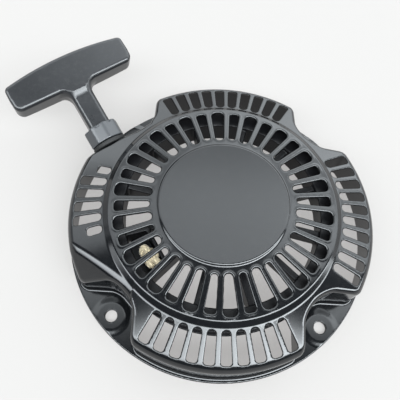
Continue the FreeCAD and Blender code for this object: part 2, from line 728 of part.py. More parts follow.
def make_rope_run():
    """The rope from where it clears the wound turns, through the guide, to the collar's face."""
    wound = size("dims.drum_radius + dims.rope_radius")
    level = (size("dims.reel_bottom") + size("dims.reel_top")) / 2
    mouth = OUTLET.multVec(FreeCAD.Vector(0, -size("dims.guide_neck_length") - 2, 0))
    span = math.hypot(mouth.x, mouth.y)
    leave_angle = math.atan2(mouth.y, mouth.x) + math.acos(wound / span)
    leave = FreeCAD.Vector(wound * math.cos(leave_angle), wound * math.sin(leave_angle), level)
    along = (FreeCAD.Vector(mouth.x, mouth.y, level) - leave).normalize()
    clear = leave + along * math.sqrt((wound + 2 * size("dims.rope_radius") + 0.4) ** 2 - wound ** 2)
    tip = OUTLET.multVec(FreeCAD.Vector(0, size("dims.collar_start") - 0.05, 0))
    run = pipe([clear, mouth, tip], size("dims.rope_radius"))
    finish(solid_feature("rope_run", run), "rope_run")


def make_guide():
    flange = along_pull("guide_flange_disc", "dims.guide_flange_radius", "0", "dims.guide_flange")
    neck = along_pull("guide_neck", "dims.guide_neck_radius", "-dims.guide_neck_length", "1")
    bore = along_pull("guide_bore", "dims.guide_bore_radius", "-dims.guide_neck_length - 3",
                      "dims.guide_flange + 3")
    finish(cut("rope_guide", fuse("guide_blank", [flange, neck]), bore), "rope_guide")


def make_handle():
    half = size("dims.grip_half_length")
    deep, start = size("dims.grip_thickness"), size("dims.grip_start")
    middle, end = size("dims.grip_middle"), size("dims.grip_end_reach")
    rise = middle - end
    bow = (half ** 2 + rise ** 2) / (2 * rise)
    slab = doc.addObject("Part::Box", "grip_slab")
    slab.Length, slab.Width, slab.Height = 2 * half, middle - start + 2, deep
    slab.Placement = OUTLET.multiply(
        FreeCAD.Placement(FreeCAD.Vector(-half, start, -deep / 2), FreeCAD.Rotation()))
    arch = doc.addObject("Part::Cylinder", "grip_arch")
    arch.Radius, arch.Height = bow, deep + 2
    arch.Placement = OUTLET.multiply(
        FreeCAD.Placement(FreeCAD.Vector(0, middle - bow, -deep / 2 - 1), FreeCAD.Rotation()))
    blank = common("grip_bar", [slab, arch])
    doc.recompute()
    bar = doc.addObject("Part::Fillet", "grip_rounded")
    bar.Base = blank
    radius = size("dims.grip_round")
    bar.Edges = [(i + 1, radius, radius) for i in range(len(blank.Shape.Edges))]
    stem = along_pull("grip_stem", "dims.stem_radius", "dims.collar_start + 0.2", "dims.anchor_seat")
    root = doc.addObject("Part::Cone", "grip_root")
    root.setExpression("Radius1", "dims.stem_radius")
    root.setExpression("Radius2", "dims.grip_thickness / 2 - 0.1")
    root.setExpression("Height", "dims.grip_root_length")
    lay = FreeCAD.Rotation(FreeCAD.Vector(1, 0, 0), -90)
    root_start = start - size("dims.grip_root_length") * 2 / 3
    root.Placement = OUTLET.multiply(FreeCAD.Placement(FreeCAD.Vector(0, root_start, 0), lay))
    through = "dims.grip_middle + 5"
    bore = along_pull("grip_bore", "dims.rope_radius + dims.rope_bore_gap", "0", through)
    cavity = along_pull("grip_cavity", "dims.anchor_radius", "dims.anchor_seat", through)
    finish(cut("grip", fuse("grip_blank", [bar, stem, root]), fuse("grip_holes", [bore, cavity])), "grip")

    sleeve = along_pull("collar_body", "dims.collar_radius", "dims.collar_start",
                        "dims.collar_start + dims.collar_length")
    eye = along_pull("collar_eye", "dims.stem_radius", "dims.collar_start - 1",
                     "dims.collar_start + dims.collar_length + 1")
    finish(cut("collar", sleeve, eye), "collar")

    seat, face = "dims.anchor_seat", "dims.anchor_seat + dims.anchor_thickness"
    anchor = along_pull("anchor_disc", "dims.anchor_radius", seat, face)
    hole = along_pull("anchor_hole", "dims.rope_radius + 0.1", seat + " - 1", seat + " + 3")
    finish(cut("rope_anchor", anchor, hole), "rope_anchor")
    lead = along_pull("rope_lead", "dims.rope_radius", "dims.collar_start + 0.05", face)
    finish(lead, "rope_lead")
    knot = doc.addObject("Part::Sphere", "handle_knot")
    knot.setExpression("Radius", "dims.knot_radius")
    reach = size(face + " + dims.knot_radius")
    knot.Placement = OUTLET.multiply(FreeCAD.Placement(FreeCAD.Vector(0, reach, 0), FreeCAD.Rotation()))
    finish(knot, "handle_knot")
    plug = along_pull("grip_plug", "dims.anchor_radius", 
                      "dims.grip_middle - dims.plug_depth - dims.plug_thickness",
                      "dims.grip_middle - dims.plug_depth")
    finish(plug, "grip_plug")


make_cover()
make_post()
make_spring()
make_reel()
make_drive()
make_guide()
make_rope_run()
make_handle()
doc.recompute()

failed = [obj.Name for obj in doc.Objects if "Invalid" in obj.State or "Error" in obj.State]
if failed:
    raise RuntimeError("features that failed: " + ", ".join(failed))
os.makedirs("parts", exist_ok=True)
for part in PARTS:
    shape = part.Shape
    if shape.isNull() or not shape.isValid() or not shape.Solids:
        raise RuntimeError("no valid solid in " + part.Label)
    shape.exportStep("parts/" + part.Label + ".step")
    print(part.Label, len(shape.Solids), round(shape.Volume))
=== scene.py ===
"""Looks of the recoil starter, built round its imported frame.

Sizes and field coordinates are in millimetres; MM turns them into the scene's metres.
"""
import math

import bpy
import numpy as np
import openvdb
from mathutils import Matrix, Vector


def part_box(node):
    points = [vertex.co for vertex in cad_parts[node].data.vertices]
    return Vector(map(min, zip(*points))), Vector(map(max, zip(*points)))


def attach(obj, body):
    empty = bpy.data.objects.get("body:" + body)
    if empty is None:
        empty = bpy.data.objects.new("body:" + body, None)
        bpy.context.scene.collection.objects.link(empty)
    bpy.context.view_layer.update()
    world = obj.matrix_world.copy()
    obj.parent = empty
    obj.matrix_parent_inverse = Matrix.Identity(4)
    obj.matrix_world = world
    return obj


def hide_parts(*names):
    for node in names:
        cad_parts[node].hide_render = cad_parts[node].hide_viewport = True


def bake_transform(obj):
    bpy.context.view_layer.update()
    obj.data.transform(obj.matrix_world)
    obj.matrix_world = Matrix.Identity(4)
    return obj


MM = 0.001

# ---------------------------------------------------------------- the studio and the camera

SKY_STRENGTH, CEILING_REACH, CEILING_TINT = 14.0, 3.0, (0.90, 0.96, 1.0)
LOWEST_RISE = 0.05
HORIZON, HORIZON_LOW, HORIZON_HIGH = (0.066, 0.066, 0.066, 1), 0.04, 0.16
# distance in ceiling heights, and brightness there
NORTHWARD = ((-3.0, 0.012), (-1.3, 0.012), (-0.9, 1.0), (-0.40, 1.2), (-0.27, 0.01), (0.08, 0.01),
             (0.22, 0.26), (0.46, 0.30), (0.66, 0.17), (0.85, 0.2), (1.13, 0.38), (1.7, 0.3), (3.0, 0.2))
EASTWARD = ((-3.0, 0.2), (-1.2, 0.75), (-0.2, 0.82), (0.05, 0.95), (0.5, 1.2), (1.2, 1.2), (3.0, 0.8))
FLOOR_GLOW, FLOOR_REACH = 0.42, 60.0
FLOOR_COLOR, FLOOR_LIGHT = (0.12, 0.115, 0.11, 1), (1.0, 0.985, 0.975, 1)
SENSOR_WIDTH, LENS = 36.0, 38.55
CAMERA_SPOT = (-17.19, -101.62, 260.75)
CAMERA_BEARING, CAMERA_ELEVATION, CAMERA_ROLL = math.radians(1.946), math.radians(65.435), math.radians(5.261)

# ---------------------------------------------------------------- sizes of the pressed cover

SHEET = 1.6
FLANGE_RADIUS, FLANGE_EDGE, FLANGE_FILLET = 95.0, 0.7, 1.8
WALL_FOOT, WALL_TOP = 92.0, 91.2
PROFILE_RADII = [0.0, 37.2, 38.4, 66.2, 69.6, 91.2, 100.0]
PROFILE_HEIGHTS = [39.2, 39.2, 38.2, 35.0, 32.4, 26.8, 24.6]
PROFILE_SAMPLES, CREASE_SAMPLES = 4001, 65
SHOULDER_ROUND, RIM_ROUND, FACET_ROUND = 4.5, 2.6, 1.6
RECESS_SIDE, RECESS_BACK, RECESS_ROUND = 46.2, 74.0, 5.0
LUG_CIRCLE, LUG_HOLE, LUG_PAD, LUG_RISE, LUG_FADE = 87.0, 3.5, 9.6, 0.7, 4.6
LIP_RISE, LIP_REACH, LIP_WIDTH = 0.12, 1.05, 0.65
INNER_EDGE, CUT_EDGE, WIDE_VENT_EDGE, VENT_EDGE = 0.9, 0.4, 1.35, 0.8
# a vent's near and far ends, its half widths there and its corner radii there
WIDE_VENT = (42.0, 63.7, 2.1, 3.9, 1.9, 3.1)
NARROW_VENT = (42.5, 62.9, 1.7, 3.1, 1.5, 2.0)
BAND_VENT = (70.6, 87.3, 2.3, 2.95, 2.15, 1.9)
SHORT_VENT = (70.6, 79.5, 2.3, 2.5, 2.15, 1.9)
RING_PITCH, WIDE_FIRST, NARROW_FIRST = math.radians(20), math.radians(15), math.radians(5)
BAND_PITCH, SHORT_VENT_TURNS = math.radians(6), (-2.5, 2.5)
# each band's quarter turn from the east, and its last vent counted from the middle
BANDS = ((0, 4), (1, 4), (2, 1), (3, 4))
PLAIN_HEADING, PLAIN_RISE, PLAIN_REACH, PLAIN_LEVEL = math.radians(231), math.radians(43), 72.7, 30.0
OUTLET = np.array([-72.9, 42.5, 20.0])
OUTLET_RADIUS, OUTLET_DEPTH = 6.05, 9.0
PULL_HEADING, PULL_RISE = math.radians(126), math.radians(20)

# ---------------------------------------------------------------- sizes of the handle and the eyelet

GRIP_HALF, GRIP_INNER, GRIP_CREST = 40.9, 42.8, 64.4
BOW_SPAN, BOW_LIMIT, CREST_DROP, INNER_BOW, GRIP_LEAN = 41, 45, 3.8, 0.5, 0.015
END_TAPER, END_MIDDLE = 0.05, 52
GRIP_HALF_DEPTH, GRIP_CHAMFER = 8.1, 1.6
CREST_ROUND, INNER_ROUND, FACE_ROUND, STEM_FILLET = 2.6, 4.5, 2.4, 7.5
STEM_HALF_WIDTH, STEM_HALF_DEPTH, STEM_RIDGE, STEM_FOOT, STEM_END = 6.95, 6.75, 8.35, 3.5, 50
GRIP_BORE, CAVITY_RADIUS, CAVITY_START = 2.1, 5.0, 48.5
COLLAR_RADIUS, COLLAR_FLAT, COLLAR_FOOT, COLLAR_TOP = 11.35, 10.75, 3.35, 14.4
COLLAR_HOLE_WIDTH, COLLAR_HOLE_DEPTH = 7.02, 6.82
NOTCH_HALF, NOTCH_FLOOR, NOTCH_DEPTH = 1.5, 12.9, 9.6
EYELET_RADIUS, EYELET_TOP, EYELET_NECK, EYELET_TAIL, EYELET_BORE = 11.1, 2.95, 5.95, -6.0, 2.3

# ---------------------------------------------------------------- sizes of the reel and the drive

REEL_LOW, REEL_HIGH, REEL_RADIUS, RIM_BORE, DRUM_RADIUS, GROOVE_HALF = 13.0, 28.4, 71.15, 58.5, 62.0, 6.2
SPOKE_LOW, SPOKE_HIGH, SPOKE_HALF, SPOKE_START, SPOKE_END = 14.0, 26.5, 2.0, 20, 60
SPOKE_FIRST, SPOKE_PITCH = math.radians(18), math.radians(30)
HUB_RADIUS, HUB_TOP, ARBOR_RADIUS, ARBOR_LOW, ARBOR_TOP, REEL_BORE = 24, 26, 9.2, 20, 34.5, 7.6
POCKET_HEADING, POCKET_HALF, POCKET_BACK, BACK_HALF = math.radians(213.0), 12, 44.4, 1.1
POCKET_NEAR, POCKET_FAR, POCKET_FLOOR = 43.3, 59, 15.6
ROPE_HOLE, ROPE_HOLE_START = 2.2, 50
PAWL_PIVOT, PIN_RADIUS, PIN_TOP = 17.0, 2.0, 20
PAWL_EYE, PAWL_BORE, PAWL_LEVEL, PAWL_HALF = 3.5, 2.05, 10.2, 1.6
ARM_MIDDLE, ARM_HALF, ARM_END = 16.25, 2.75, -17.0
TOE_POINT, TOE_WAY = (19.0, -13.5), (0.5, -0.86)
PLATE_RADIUS, PLATE_BORE, PLATE_LEVEL, PLATE_HALF = 15.0, 6.05, 7.2, 0.8
EAR_HALF, EAR_REACH, DISH_RADIUS, DISH_HALF, DISH_FLOOR, DISH_TOP = 4.0, 20.0, 10.6, 1.5, 6.8, 7.0
HEAD_FLAT, HEAD_LOW, HEAD_HIGH, HEAD_CHAMFER_RADIUS = 4.76, 0.2, 3.1, 4.7
CHAMFER_SPREAD, CHAMFER_SCALE = 1.6, 0.53
DIMPLE_RADIUS, DIMPLE_BELOW = 1.5, 0.9
SHANK_RADIUS, SHANK_TOP, SHANK_LOW = 2.48, 24.5, 2.0

# ---------------------------------------------------------------- sizes of the rope

ROPE_RADIUS, KNOT_ROPE_RADIUS = 1.75, 2.1
ROPE_LEVEL, ROPE_TURNS, TURN_POINTS = 20.7, 3, 48
BRAID_STEP, BRAID_SIDES, BRAID_STRANDS, BRAID_PITCH, BRAID_DEPTH = 0.45, 24, 6, 4.2, 0.16
KNOT_POINTS, KNOT_HALF_LENGTH, KNOT_HALF_WIDTH, KNOT_HALF_HEIGHT = 24, 2.1, 1.25, 1.6
KNOT_SPOT, KNOT_TAIL = (50.4, 2.9, 22.4), ((48.4, 9.6, 24.9), (46.9, 10.6, 23.4))
MOUTH, CLEAR_SHARE = -8.0, 0.55
PULL_STOPS = (-4.0, 0.0, 8.0, 16.0, 24.0, 32.0, 40.0, 49.0)

# ---------------------------------------------------------------- how meshes are made and shaded

NORMAL_LEAN, SMALL_FACE_LEAN, BROAD_FACE = 0.93, 0.2, 1.6
BAND_STEPS, BOX_MARGIN = 3, 2


def direction(heading, rise):
    return np.array([math.cos(heading) * math.cos(rise), math.sin(heading) * math.cos(rise), math.sin(rise)])


PULL = direction(PULL_HEADING, PULL_RISE)
ACROSS = np.array([math.sin(PULL_HEADING), -math.cos(PULL_HEADING), 0.0])
ABOVE = np.cross(ACROSS, PULL)
PLAIN_NORMAL = direction(PLAIN_HEADING, PLAIN_RISE)
PLAIN_POINT = np.array([PLAIN_REACH * math.cos(PLAIN_HEADING), PLAIN_REACH * math.sin(PLAIN_HEADING),
                        PLAIN_LEVEL])

# ---------------------------------------------------------------- rounded solids as distance fields


def both(a, b, radius=0.0):
    """The part inside both fields, with the edge between them rounded."""
    if radius == 0.0:
        return np.maximum(a, b)
    corner = np.hypot(np.maximum(a + radius, 0), np.maximum(b + radius, 0))
    return np.minimum(-radius, np.maximum(a, b)) + corner


def either(a, b, radius=0.0):
    """The part inside one field or the other, with a fillet between them."""
    return -both(-a, -b, radius)


def slab_along(x, y, z, point, normal):
    """Distance past a plane."""
    return (x - point[0]) * normal[0] + (y - point[1]) * normal[1] + (z - point[2]) * normal[2]


def wedge_slot(x, y, near, far, half_near, half_far, round_near, round_far):
    """Plan of a tapered slot along x with rounded corners."""
    lean = (half_far - half_near) / (far - near)
    side = (np.abs(y) - half_near - lean * (x - near)) / math.hypot(1, lean)
    return both(both(side, near - x, round_near), x - far, round_far)


def turned_plan(x, y, angle):
    """x and y in a frame turned by an angle, an array or a number."""
    c, s = np.cos(angle), np.sin(angle)
    return x * c + y * s, y * c - x * s


def nearest_turn(theta, first, pitch, low=-1e9, high=1e9):
    """The member of an evenly pitched ring that lies nearest, between two counts."""
    return first + pitch * np.clip(np.round((theta - first) / pitch), low, high)


def crown_tables():
    """Height and slope of the cover's top over the radius, with every crease softened."""
    radii = np.linspace(0, PROFILE_RADII[-1], PROFILE_SAMPLES)
    heights = np.interp(radii, PROFILE_RADII, PROFILE_HEIGHTS)
    window = np.hanning(CREASE_SAMPLES)
    window /= window.sum()
    side = CREASE_SAMPLES // 2
    padded = np.concatenate([np.full(side, heights[0]), heights, np.full(side, heights[-1])])
    heights = np.convolve(padded, window, "valid")
    return radii, heights, np.gradient(heights, radii)


CROWN = crown_tables()


def crown_field(r, z):
    """Distance above the crown, near its surface."""
    slope = np.interp(r, CROWN[0], CROWN[2])
    return (z - np.interp(r, CROWN[0], CROWN[1])) / np.sqrt(1 + slope * slope)


def bell_field(x, y, z):
    """The pressed form as a solid: crown and wall, four lug recesses, and the two flats of the west group."""
    r = np.hypot(x, y)
    wall = r - (WALL_FOOT - (WALL_FOOT - WALL_TOP) * z / PROFILE_HEIGHTS[-2])
    bell = both(crown_field(r, z), wall, SHOULDER_ROUND)
    arms = either(np.abs(x) - RECESS_SIDE, r - RECESS_BACK, RECESS_ROUND)
    arms = either(arms, np.abs(y) - RECESS_SIDE, RECESS_ROUND)
    beyond = -RECESS_SIDE - FACET_ROUND - 0.1 - x
    rope_flat = np.minimum(slab_along(x, y, z, OUTLET, PULL), beyond)
    plain_flat = np.minimum(slab_along(x, y, z, PLAIN_POINT, PLAIN_NORMAL), beyond)
    form = both(bell, arms, RIM_ROUND)
    form = both(form, rope_flat, FACET_ROUND)
    return both(form, plain_flat, FACET_ROUND)


def ring_slots(x, y):
    """The ring of 18 wide and 18 narrow vents."""
    theta = np.arctan2(y, x)
    wide = wedge_slot(*turned_plan(x, y, nearest_turn(theta, WIDE_FIRST, RING_PITCH)), *WIDE_VENT)
    narrow = wedge_slot(*turned_plan(x, y, nearest_turn(theta, NARROW_FIRST, RING_PITCH)), *NARROW_VENT)
    return wide, narrow


def band_slots(x, y):
    """The vents on the four lower bands; the west group has six, the outer two short."""
    theta = np.arctan2(y, x)
    plan = np.full_like(x, 1e3)
    for quarter, last in BANDS:
        heading = quarter * math.pi / 2
        off = (theta - heading + math.pi) % (2 * math.pi) - math.pi
        middle = nearest_turn(off, BAND_PITCH / 2, BAND_PITCH, -last - 1, last)
        plan = np.minimum(plan, wedge_slot(*turned_plan(x, y, heading + middle), *BAND_VENT))
    for side in SHORT_VENT_TURNS:
        plan = np.minimum(plan, wedge_slot(*turned_plan(x, y, math.pi + side * BAND_PITCH), *SHORT_VENT))
    return plan


def lug_distance(x, y):
    """Plan distance from the nearest of the four holes."""
    spot = LUG_CIRCLE * math.sqrt(0.5)
    return np.hypot(np.abs(x) - spot, np.abs(y) - spot)


def lip(slot):
    """Height of the drawn rim that stands round a vent."""
    return LIP_RISE * np.exp(-((slot - LIP_REACH) / LIP_WIDTH) ** 2)


def cover_field(x, y, z):
    """The whole pressing: sheet of even thickness, flange, lug pads, vents and holes."""
    form = bell_field(x, y, z)
    wide, narrow = ring_slots(x, y)
    band = band_slots(x, y)
    lug = lug_distance(x, y)
    pad = np.clip((LUG_PAD + LUG_FADE / 2 - lug) / LUG_FADE, 0, 1)
    pad = LUG_RISE * pad * pad * (3 - 2 * pad)
    flange = both(z - SHEET - pad, np.hypot(x, y) - FLANGE_RADIUS, FLANGE_EDGE)
    outside = either(form - lip(wide) - lip(narrow), flange, FLANGE_FILLET)
    outside = both(outside, -wide, WIDE_VENT_EDGE)
    outside = both(outside, -narrow, VENT_EDGE)
    outside = both(outside, -band, VENT_EDGE)
    sheet = both(both(outside, -z, CUT_EDGE), -(form + SHEET), INNER_EDGE)
    sheet = both(sheet, LUG_HOLE - lug, CUT_EDGE)
    across, along, above = pull_axes(x, y, z)
    return both(sheet, np.minimum(OUTLET_RADIUS - np.hypot(across, above), OUTLET_DEPTH - np.abs(along)))


# ---------------------------------------------------------------- the handle, in its own axes


def pull_axes(x, y, z):
    """Across, along and above the pull, measured from the outlet's middle."""
    return tuple(slab_along(x, y, z, OUTLET, axis) for axis in (ACROSS, PULL, ABOVE))


def grip_field(x, y, z):
    """The T-grip: an arched bar with crowned faces, drawn into a ridged stem."""
    across, along, above = pull_axes(x, y, z)
    bow = (np.minimum(np.abs(across), BOW_LIMIT) / BOW_SPAN) ** 2
    lean = along - GRIP_LEAN * across
    outer = lean - (GRIP_CREST - CREST_DROP * bow)
    inner = (GRIP_INNER + INNER_BOW * bow) - lean
    ends = np.abs(across) - GRIP_HALF + END_TAPER * np.abs(along - END_MIDDLE)
    plan = both(both(outer, ends, CREST_ROUND), inner, INNER_ROUND)
    face = np.abs(above) - (GRIP_HALF_DEPTH - bow)
    chamfer = (outer + face + GRIP_CHAMFER) * math.sqrt(0.5)
    bar = both(both(plan, face, FACE_ROUND), chamfer, 0.5)
    slope = (np.abs(across) + np.abs(above)) * math.sqrt(0.5) - STEM_RIDGE
    stem = both(both(np.abs(across) - STEM_HALF_WIDTH, np.abs(above) - STEM_HALF_DEPTH, 0.4), slope, 0.5)
    stem = both(stem, np.maximum(STEM_FOOT - along, along - STEM_END), 0.5)
    grip = both(either(bar, stem, STEM_FILLET), face)
    bore = np.hypot(across, above) - GRIP_BORE
    cavity = np.maximum(np.hypot(across, above) - CAVITY_RADIUS, CAVITY_START - along)
    return both(grip, -np.minimum(bore, cavity), 0.4)


def collar_field(x, y, z):
    """The collar round the stem's foot: a round sleeve with flats and a broken upper rim."""
    across, along, above = pull_axes(x, y, z)
    angle = np.arctan2(above, across)
    u, v = turned_plan(across, above, nearest_turn(angle, math.radians(15), math.radians(45)))
    side = both(np.hypot(across, above) - COLLAR_RADIUS, u - COLLAR_FLAT, 0.4)
    notch = np.maximum(np.abs(v) - NOTCH_HALF, NOTCH_FLOOR - along)
    sleeve = both(both(side, along - COLLAR_TOP, 0.9), COLLAR_FOOT - along, 0.6)
    sleeve = both(sleeve, -np.maximum(notch, NOTCH_DEPTH - u), 0.3)
    hollow = both(np.abs(across) - COLLAR_HOLE_WIDTH, np.abs(above) - COLLAR_HOLE_DEPTH, 0.5)
    return both(sleeve, -hollow, 0.5)


def guide_field(x, y, z):
    """The rubber eyelet: a flange on the flat, a neck through the sheet and a flared bore."""
    across, along, above = pull_axes(x, y, z)
    radius = np.hypot(across, above)
    flange = both(radius - EYELET_RADIUS, np.maximum(0.02 - along, along - EYELET_TOP), 0.9)
    neck = both(radius - EYELET_NECK, np.maximum(EYELET_TAIL - along, along - 1), 0.4)
    return both(either(flange, neck, 0.2), EYELET_BORE - radius, 1.2)


# ---------------------------------------------------------------- meshes from fields


def gradient(field, p, step=0.02):
    """Value and slope of a field at points."""
    shift = np.eye(3) * step
    slope = [(field(*(p + d).T) - field(*(p - d).T)) / (2 * step) for d in shift]
    return field(*p.T), np.stack(slope, 1)


def settle(field, p, rounds, reach):
    """Points moved onto the surface of a field."""
    for _ in range(rounds):
        value, slope = gradient(field, p)
        move = -(value / np.maximum((slope ** 2).sum(1), 0.25))[:, None] * slope
        length = np.linalg.norm(move, axis=1, keepdims=True)
        p = p + move * np.minimum(1, reach / np.maximum(length, 1e-9))
    return p


def mesh_coordinates(mesh):
    """A mesh's vertices as an array."""
    flat = np.empty(len(mesh.vertices) * 3, np.float32)
    mesh.vertices.foreach_get("co", flat)
    return flat.reshape(-1, 3).astype(float)


def shade_by_field(mesh, slope):
    """Corner normals from the field, except where they lean away from a broad flat face."""
    slope = slope / np.maximum(np.linalg.norm(slope, axis=1, keepdims=True), 1e-6)
    flat = np.empty(len(mesh.polygons) * 3, np.float32)
    mesh.polygons.foreach_get("normal", flat)
    area = np.empty(len(mesh.polygons), np.float32)
    mesh.polygons.foreach_get("area", area)
    sides = np.empty(len(mesh.polygons), np.int32)
    mesh.polygons.foreach_get("loop_total", sides)
    owners = np.empty(len(mesh.loops), np.int32)
    mesh.loops.foreach_get("vertex_index", owners)
    faces = np.repeat(flat.reshape(-1, 3), sides, axis=0)
    corners = slope[owners]
    agree = (corners * faces).sum(1)
    small = np.repeat(area, sides) < BROAD_FACE * MM * MM
    smooth = (agree > NORMAL_LEAN) | (small & (agree > SMALL_FACE_LEAN))
    mesh.normals_split_custom_set(np.where(smooth[:, None], corners, faces).tolist())


def surface_piece(name, field, low_mm, high_mm, step_mm, keep):
    """A closed mesh of a field's surface, thinned to a share of its faces."""
    axes = [np.arange(a, b + step_mm, step_mm) for a, b in zip(low_mm, high_mm)]
    grid = np.meshgrid(*axes, indexing="ij")
    reach = BAND_STEPS * step_mm
    volume = openvdb.FloatGrid(reach)
    volume.copyFromArray(np.clip(field(*grid), -reach, reach).astype(np.float32))
    points, quads = volume.convertToQuads(isovalue=0.0)
    points = settle(field, np.asarray(points, float) * step_mm + np.array(low_mm), 2, step_mm / 2)
    mesh = bpy.data.meshes.new(name)
    mesh.from_pydata(points, [], np.asarray(quads).tolist())
    piece = bpy.data.objects.new(name, mesh)
    bpy.context.scene.collection.objects.link(piece)
    thin = piece.modifiers.new("thin", "DECIMATE")
    thin.ratio = keep
    graph = bpy.context.evaluated_depsgraph_get()
    thinned = bpy.data.meshes.new_from_object(piece.evaluated_get(graph))
    piece.modifiers.clear()
    piece.data = thinned
    bpy.data.meshes.remove(mesh)
    thinned.name = name
    points = settle(field, mesh_coordinates(thinned), 2, step_mm / 3) * MM
    thinned.vertices.foreach_set("co", points.astype(np.float32).ravel())
    thinned.shade_smooth()
    shade_by_field(thinned, gradient(field, points / MM)[1])
    return piece


# ---------------------------------------------------------------- the reel and the drive under it


def reel_field(x, y, z):
    """The moulded reel: a grooved rim, twelve spokes, a hub with its arbor, and the knot's pocket."""
    r = np.hypot(x, y)
    theta = np.arctan2(y, x)
    middle, half = (REEL_LOW + REEL_HIGH) / 2, (REEL_HIGH - REEL_LOW) / 2
    rim = both(np.maximum(RIM_BORE - r, r - REEL_RADIUS), np.abs(z - middle) - half, 0.5)
    rim = both(rim, -both(DRUM_RADIUS - r, np.abs(z - middle) - GROOVE_HALF, 0.8), 0.4)
    spoke_height = np.maximum(SPOKE_LOW - z, z - SPOKE_HIGH)
    u, v = turned_plan(x, y, nearest_turn(theta, SPOKE_FIRST, SPOKE_PITCH))
    spoke = both(np.abs(v) - SPOKE_HALF, spoke_height, 0.8)
    spoke = np.maximum(spoke, np.maximum(SPOKE_START - u, u - SPOKE_END))
    hub = both(r - HUB_RADIUS, np.maximum(REEL_LOW - z, z - HUB_TOP), 1.0)
    arbor = both(r - ARBOR_RADIUS, np.maximum(ARBOR_LOW - z, z - ARBOR_TOP), 0.5)
    spider = either(either(hub, arbor, 1.5), spoke, 1.5)
    out, beside = turned_plan(x, y, POCKET_HEADING)
    back = both(np.abs(out - POCKET_BACK) - BACK_HALF, np.abs(beside) - POCKET_HALF, 0.5)
    back = both(back, spoke_height, 0.5)
    base = both(np.maximum(POCKET_NEAR - out, out - POCKET_FAR), np.abs(beside) - POCKET_HALF, 0.5)
    base = both(base, np.maximum(SPOKE_LOW - z, z - POCKET_FLOOR), 0.4)
    solid = either(either(spider, either(back, base, 0.8), 1.0), rim, 1.0)
    pins = np.maximum(np.hypot(np.abs(x) - PAWL_PIVOT, y) - PIN_RADIUS, z - PIN_TOP)
    rope_hole = np.maximum(np.hypot(beside, z - middle) - ROPE_HOLE, ROPE_HOLE_START - out)
    holes = np.minimum(np.minimum(r - REEL_BORE, pins), rope_hole)
    return both(solid, -holes, 0.3)


def pawl_field(x, y, z):
    """A stamped pawl: an eye on its pin and an arm with a bevelled toe."""
    eye = np.hypot(x - PAWL_PIVOT, y) - PAWL_EYE
    arm = both(np.abs(x - ARM_MIDDLE) - ARM_HALF, np.maximum(ARM_END - y, y), 0.5)
    toe = (x - TOE_POINT[0]) * TOE_WAY[0] + (y - TOE_POINT[1]) * TOE_WAY[1]
    plan = either(eye, both(arm, toe, 0.6), 1.2)
    pawl = both(plan, np.abs(z - PAWL_LEVEL) - PAWL_HALF, 0.35)
    return both(pawl, PAWL_BORE - np.hypot(x - PAWL_PIVOT, y), 0.2)


def other_pawl_field(x, y, z):
    """The same pawl turned half round the post."""
    return pawl_field(-x, -y, z)


def plate_field(x, y, z):
    """The friction plate with the two ears that push the pawls out."""
    r = np.hypot(x, y)
    ears = both(np.abs(x) - EAR_HALF, np.abs(y) - EAR_REACH, 1.6)
    plan = either(r - PLATE_RADIUS, ears, 2.5)
    plate = both(plan, np.abs(z - PLATE_LEVEL) - PLATE_HALF, 0.35)
    dish = both(np.abs(r - DISH_RADIUS) - DISH_HALF, DISH_FLOOR - z, 0.3)
    return both(both(plate, PLATE_BORE - r, 0.3), -np.maximum(dish, z - DISH_TOP), 0.3)


def screw_field(x, y, z):
    """The centre screw: a hexagon head with a chamfer and a dimple, and its shank."""
    r = np.hypot(x, y)
    u, _ = turned_plan(x, y, nearest_turn(np.arctan2(y, x), math.radians(30), math.radians(60)))
    head = both(u - HEAD_FLAT, np.maximum(HEAD_LOW - z, z - HEAD_HIGH), 0.2)
    head = both(head, (r - HEAD_CHAMFER_RADIUS - (z - HEAD_LOW) * CHAMFER_SPREAD) * CHAMFER_SCALE, 0.2)
    head = both(head, DIMPLE_RADIUS - np.hypot(r, z + DIMPLE_BELOW), 0.2)
    shank = both(r - SHANK_RADIUS, z - SHANK_TOP, 0.3)
    return either(head, np.maximum(shank, SHANK_LOW - z), 0.2)


# ---------------------------------------------------------------- braided rope


def smooth_route(points):
    """Evenly spaced points on the smooth curve that a few control points steer."""
    curve = bpy.data.curves.new("route", "CURVE")
    curve.dimensions = "3D"
    curve.resolution_u = 24
    spline = curve.splines.new("NURBS")
    spline.points.add(len(points) - 1)
    for spot, point in zip(spline.points, points):
        spot.co = (*point, 1)
    spline.use_endpoint_u = True
    spline.order_u = 3
    holder = bpy.data.objects.new("route", curve)
    mesh = bpy.data.meshes.new_from_object(holder)
    line = mesh_coordinates(mesh)
    bpy.data.objects.remove(holder)
    bpy.data.curves.remove(curve)
    bpy.data.meshes.remove(mesh)
    run = np.concatenate([[0], np.cumsum(np.linalg.norm(np.diff(line, axis=0), axis=1))])
    even = np.linspace(0, run[-1], max(8, int(run[-1] / BRAID_STEP)))
    return np.stack([np.interp(even, run, line[:, i]) for i in range(3)], 1), even


